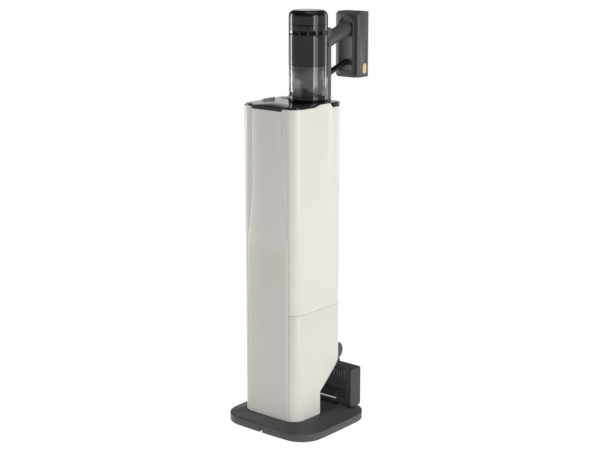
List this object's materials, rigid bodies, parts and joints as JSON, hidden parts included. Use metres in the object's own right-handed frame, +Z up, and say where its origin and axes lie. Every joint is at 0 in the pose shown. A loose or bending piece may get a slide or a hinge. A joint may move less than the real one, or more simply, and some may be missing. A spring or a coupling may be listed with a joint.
{
  "type": "cordless stick vacuum with emptying station",
  "caption": "Cordless stick vacuum parked on a tall emptying and charging tower with a wide base, side doors, telescopic wand, motor unit, dust bin, battery handle and roller nozzle.",
  "frame": {"origin": "on the floor under the middle of the station's base", "axes": "+Z up, -Y towards the station's removable rear cover, +Y towards the parked wand and nozzle, +X to the right-hand door"},
  "size_m": [0.283, 0.3866, 1.0355],
  "materials": {
    "shell_white": "satin",
    "charcoal": "matte",
    "gloss_dark": "gloss",
    "inner_grey": "matte",
    "clear_smoke": "clear gloss",
    "battery_grey": "satin",
    "gold": "metallic satin",
    "rubber": "matte",
    "steel": "brushed",
    "tube_metal": "satin anodised",
    "brass": "polished",
    "bag_fleece": "fleece",
    "filter_paper": "pleated",
    "board_green": "matte",
    "brush_pile": "pile",
    "light_lens": "diffuse",
    "cell_wrap": "film",
    "cap_grey": "satin"
  },
  "bodies": {
    "station": {"base_plate": "charcoal", "underside_cover": "charcoal", "screws": "steel", "ballast": "steel", "rubber_feet": "rubber", "power_inlet": "charcoal", "side_frames": "shell_white", "hinge_pins": "steel", "top_plate": "gloss_dark", "front_panel": "gloss_dark", "bay_liner": "charcoal", "chassis": "inner_grey", "dock_well": "inner_grey", "dock_seal": "rubber", "dust_bag": "bag_fleece", "fan_housing": "inner_grey", "station_motor": "steel", "exhaust_filter": "filter_paper", "control_board": "board_green", "charge_contacts": "brass", "crevice_tool": "charcoal", "dusting_brush": "charcoal"},
    "back_cover": {"rear_cover": "shell_white"},
    "left_door": {"door_left": "shell_white"},
    "right_door": {"door_right": "shell_white"},
    "station_fan": {"station_impeller": "charcoal"},
    "empty_key": {"empty_button": "cap_grey"},
    "wand": {"inner_tube": "tube_metal", "swivel_elbow": "charcoal"},
    "vacuum": {"vent_ring": "gloss_dark", "motor_housing": "gloss_dark", "vacuum_motor": "steel", "dust_bin": "clear_smoke", "bin_base": "gloss_dark", "cyclone": "gloss_dark", "outer_tube": "tube_metal", "rear_spine": "charcoal", "grip": "charcoal", "lower_strut": "gloss_dark", "handle_frame": "battery_grey"},
    "filter_unit": {"filter_cap": "gloss_dark", "exhaust_core": "filter_paper"},
    "flap": {"bin_flap": "charcoal"},
    "vacuum_fan": {"vacuum_impeller": "tube_metal"},
    "tube_key": {"tube_release": "cap_grey"},
    "power_key": {"power_button": "cap_grey"},
    "battery": {"battery_case": "battery_grey", "battery_cells": "cell_wrap"},
    "release_left": {"battery_release_left": "gold"},
    "release_right": {"battery_release_right": "gold"},
    "nozzle": {"neck_yoke": "charcoal", "neck_axle": "steel", "nozzle_cover": "charcoal", "nozzle_window": "clear_smoke", "light_bar": "light_lens", "nozzle_base": "charcoal", "end_caps": "cap_grey", "roller_motor": "steel"},
    "brush": {"brush_roller": "brush_pile"},
    "wheels": {"nozzle_wheels": "rubber"}
  },
  "joints": [
    {"name": "left_door_hinge", "type": "hinge", "parent": "station", "child": "left_door", "pos_m": [-0.07543, 0.06842, 0.56], "axis": [0, 0, -1], "range_deg": [0, 88]},
    {"name": "right_door_hinge", "type": "hinge", "parent": "station", "child": "right_door", "pos_m": [0.07543, 0.06842, 0.56], "axis": [0, 0, 1], "range_deg": [0, 88]},
    {"name": "rear_cover_pull", "type": "slide", "parent": "station", "child": "back_cover", "axis": [0, -1, 0], "range_m": [0, 0.12]},
    {"name": "station_fan_spin", "type": "hinge", "parent": "station", "child": "station_fan", "pos_m": [0, -0.02, 0.28], "axis": [0, 0, 1], "continuous": true},
    {"name": "empty_key_press", "type": "slide", "parent": "station", "child": "empty_key", "axis": [0, -1, 0], "range_m": [0, 0.0012], "stiffness_N_per_m": 600},
    {"name": "vacuum_lift", "type": "slide", "parent": "station", "child": "wand", "axis": [0, 0, 1], "range_m": [0, 0.85]},
    {"name": "wand_extend", "type": "slide", "parent": "wand", "child": "vacuum", "axis": [0, 0, 1], "range_m": [0, 0.2]},
    {"name": "tube_key_press", "type": "slide", "parent": "vacuum", "child": "tube_key", "axis": [0, -1, 0], "range_m": [0, 0.002], "stiffness_N_per_m": 600},
    {"name": "filter_lift", "type": "slide", "parent": "vacuum", "child": "filter_unit", "axis": [0, 0, 1], "range_m": [0, 0.07]},
    {"name": "bin_flap_hinge", "type": "hinge", "parent": "vacuum", "child": "flap", "pos_m": [0, 0.0166, 0.8147], "axis": [-1, 0, 0], "range_deg": [0, 80]},
    {"name": "vacuum_fan_spin", "type": "hinge", "parent": "vacuum", "child": "vacuum_fan", "pos_m": [0, 0.0461, 0.96], "axis": [0, 0, 1], "continuous": true},
    {"name": "power_key_press", "type": "slide", "parent": "vacuum", "child": "power_key", "axis": [0, 1, 0], "range_m": [0, 0.0012], "stiffness_N_per_m": 600},
    {"name": "battery_pull", "type": "slide", "parent": "vacuum", "child": "battery", "axis": [0, 1, 0], "range_m": [0, 0.06]},
    {"name": "release_left_press", "type": "slide", "parent": "battery", "child": "release_left", "axis": [1, 0, 0], "range_m": [0, 0.0015], "stiffness_N_per_m": 600},
    {"name": "release_right_press", "type": "slide", "parent": "battery", "child": "release_right", "axis": [-1, 0, 0], "range_m": [0, 0.0015], "stiffness_N_per_m": 600},
    {"name": "nozzle_pitch", "type": "hinge", "parent": "wand", "child": "nozzle", "pos_m": [0, 0.106, 0.164], "axis": [1, 0, 0], "range_deg": [0, 85]},
    {"name": "brush_spin", "type": "hinge", "parent": "nozzle", "child": "brush", "pos_m": [0, 0.1075, 0.062], "axis": [1, 0, 0], "continuous": true},
    {"name": "wheel_spin", "type": "hinge", "parent": "nozzle", "child": "wheels", "pos_m": [0, 0.1225, 0.114], "axis": [1, 0, 0], "continuous": true}
  ]
}
